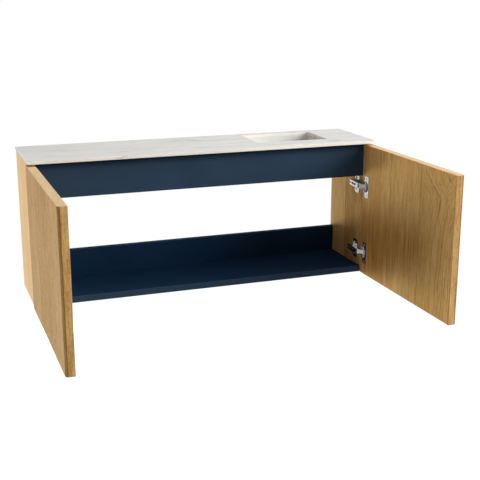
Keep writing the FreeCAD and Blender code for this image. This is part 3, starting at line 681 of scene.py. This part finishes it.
dark_steel = metal("dark_steel", srgb(58, 58, 60), 0.22, 0.16)
screw_steel = metal("screw_steel", srgb(176, 176, 178), 0.18, 0.16)
zinc = slot_paint["zinc"]
pan = (pan_head, cross(0.46, 0.11), 0.0011)
sunk = (sunk_head, cross(0.56, 0.13), 0.0009)
low_set = (set_head, cross(0.62, 0.14), 0.0009)
for name, body, slot, paint, axis, kind in (
        ("hinge_plate_screws", "cabinet", "nickel_steel", screw_steel, None, pan),
        ("hinge_cup_screws_left", "left_door", "nickel_steel", screw_steel, None, sunk),
        ("hinge_cup_screws_right", "right_door", "nickel_steel", screw_steel, None, sunk),
        ("hinge_adjusters", "cabinet", "nickel_steel", dark_steel, 0, low_set),
        ("bracket_screws", "cabinet", "zinc", zinc, None, pan),
        ("rail_screws", "cabinet", "zinc", zinc, None, sunk)):
    shape = bmesh.new()
    for corners in solids(name):
        add_screw(shape, corners, axis, *kind)
    piece(name + "_dressed", shape, body, slot, paint, name)


# Pipe thread on the tail of the waste
def helix(middle, root, crest, low, high, pitch, steps=40):
    """A ridge wound round an upright tube, which runs out at both ends."""
    shape = bmesh.new()
    total = int((high - low) / pitch * steps)
    rows = []
    for i in range(total + 1):
        turn = math.tau * i / steps
        level = low + pitch * i / steps
        ridge = root + (crest - root) * min(1.0, (i + 1) / steps, (total - i + 1) / steps)
        section = ((root, -0.4 * pitch), (ridge, 0.0), (root, 0.4 * pitch))
        rows.append([shape.verts.new((middle[0] + r * math.cos(turn), middle[1] + r * math.sin(turn), level + up))
                     for r, up in section])
    for row, following in zip(rows, rows[1:]):
        for i in range(3):
            shape.faces.new((row[i], row[i - 2], following[i - 2], following[i]))
    shape.faces.new(rows[0])
    shape.faces.new(rows[-1])
    return shape


tail = [m for m in frame["record"]["mounts"] if m["name"] == "waste_tail"][0]
tail_radius = tail["dims"]["r_mm"] / 1000
thread_low = tail["pos_m"][2] + 0.0022
thread_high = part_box("waste_nut")[0][2] - 0.0015
waste_thread = helix(tail["pos_m"], tail_radius - PIPE_RIDGE, tail_radius + PIPE_RIDGE,
                     thread_low, thread_high, PIPE_PITCH)
piece("waste_thread", waste_thread, "cabinet", "chrome", slot_paint["chrome"])


# Camera, as the photograph was taken
look_down = 15.27
look_right = 19.87
camera_data = bpy.data.cameras.new("camera")
camera_data.sensor_width = 36.0
camera_data.lens = 70.757
camera = bpy.data.objects.new("camera", camera_data)
camera.location = (-0.79681, -2.67435, 0.50139)
camera.rotation_euler = (math.radians(90 - look_down), 0.0, math.radians(-look_right))
scene.collection.objects.link(camera)
scene.camera = camera


# Stage: pale floor below the unit, white surroundings and soft lamps
def add_node(tree, kind, **inputs):
    """A new node with some of its inputs set."""
    node = tree.nodes.new(kind)
    for name, value in inputs.items():
        node.inputs[name.replace("_", " ")].default_value = value
    return node


def seen_directly(tree):
    """1 for rays from the camera, in a mirror or through glass."""
    path = tree.nodes.new("ShaderNodeLightPath")
    most = path.outputs["Is Camera Ray"]
    for name in ("Is Glossy Ray", "Is Transmission Ray"):
        node = tree.nodes.new("ShaderNodeMath")
        node.operation = "MAXIMUM"
        tree.links.new(most, node.inputs[0])
        tree.links.new(path.outputs[name], node.inputs[1])
        most = node.outputs[0]
    return most


def make_world(level):
    """Surroundings that look white and give a little light."""
    world = bpy.data.worlds.new("studio")
    world.use_nodes = True
    tree = world.node_tree
    tree.nodes.clear()
    out = tree.nodes.new("ShaderNodeOutputWorld")
    light = add_node(tree, "ShaderNodeBackground", Color=(0.97, 0.98, 1.0, 1.0), Strength=level)
    white = add_node(tree, "ShaderNodeBackground", Color=WHITE, Strength=1.0)
    mix = tree.nodes.new("ShaderNodeMixShader")
    tree.links.new(seen_directly(tree), mix.inputs[0])
    tree.links.new(light.outputs[0], mix.inputs[1])
    tree.links.new(white.outputs[0], mix.inputs[2])
    tree.links.new(mix.outputs[0], out.inputs["Surface"])
    scene.world = world


def make_floor(height):
    """Floor that looks white where it is lit and still takes the shadow."""
    material = bpy.data.materials.new("pale_floor")
    material.use_nodes = True
    tree = material.node_tree
    tree.nodes.clear()
    out = tree.nodes.new("ShaderNodeOutputMaterial")
    bounce = add_node(tree, "ShaderNodeBsdfDiffuse", Color=(0.45, 0.45, 0.45, 1.0))
    shade = add_node(tree, "ShaderNodeBsdfDiffuse", Color=(0.25, 0.25, 0.25, 1.0))
    glow = add_node(tree, "ShaderNodeEmission", Strength=0.84)
    both = tree.nodes.new("ShaderNodeAddShader")
    white = add_node(tree, "ShaderNodeEmission", Strength=1.0)
    coords = tree.nodes.new("ShaderNodeTexCoord")
    away = tree.nodes.new("ShaderNodeVectorMath")
    away.operation = "LENGTH"
    fade = add_node(tree, "ShaderNodeMapRange", From_Min=0.9, From_Max=2.4)
    fade.interpolation_type = "SMOOTHSTEP"
    far = tree.nodes.new("ShaderNodeMixShader")
    mix = tree.nodes.new("ShaderNodeMixShader")
    tree.links.new(shade.outputs[0], both.inputs[0])
    tree.links.new(glow.outputs[0], both.inputs[1])
    tree.links.new(coords.outputs["Object"], away.inputs[0])
    tree.links.new(away.outputs["Value"], fade.inputs["Value"])
    tree.links.new(fade.outputs[0], far.inputs[0])
    tree.links.new(both.outputs[0], far.inputs[1])
    tree.links.new(white.outputs[0], far.inputs[2])
    tree.links.new(seen_directly(tree), mix.inputs[0])
    tree.links.new(bounce.outputs[0], mix.inputs[1])
    tree.links.new(far.outputs[0], mix.inputs[2])
    tree.links.new(mix.outputs[0], out.inputs["Surface"])
    mesh = bpy.data.meshes.new("floor")
    shape = bmesh.new()
    bmesh.ops.create_grid(shape, x_segments=8, y_segments=8, size=9.0)
    shape.to_mesh(mesh)
    shape.free()
    mesh.materials.append(material)
    floor = bpy.data.objects.new("floor", mesh)
    floor.location = (0.0, 0.0, height)
    scene.collection.objects.link(floor)


def soft_lamp(name, place, target, size, watts, mirrored=True):
    """A round lamp that looks at a target; mirrored tells whether it shows in shiny metal."""
    data = bpy.data.lights.new(name, "AREA")
    data.shape = "DISK"
    data.size = size
    data.energy = watts
    lamp = bpy.data.objects.new(name, data)
    lamp.location = place
    lamp.rotation_euler = (Vector(target) - Vector(place)).to_track_quat("-Z", "Y").to_euler()
    lamp.visible_glossy = mirrored
    scene.collection.objects.link(lamp)


make_world(0.16)
make_floor(FLOOR_LEVEL)
middle = (0.0, -0.25, -0.10)
right_door = (0.4, -0.4, -0.12)
soft_lamp("right_lamp", (4.2, -1.6, 1.8), middle, 2.0, 125.0)
soft_lamp("low_right_lamp", (4.2, -2.4, 0.6), middle, 2.0, 76.0)
soft_lamp("front_lamp", (2.0, -2.7, 1.2), middle, 1.4, 44.0)
soft_lamp("left_lamp", (-3.2, -0.6, -0.1), middle, 1.2, 50.0)
soft_lamp("top_lamp", (-0.2, -0.2, 2.6), middle, 1.6, 28.0)
soft_lamp("rear_low_lamp", (-0.27, 1.0, -0.56), right_door, 0.4, 11.0, mirrored=False)
soft_lamp("rear_lamp", (0.6, 3.0, -0.55), middle, 1.2, 28.0)
scene.view_settings.view_transform = "Standard"
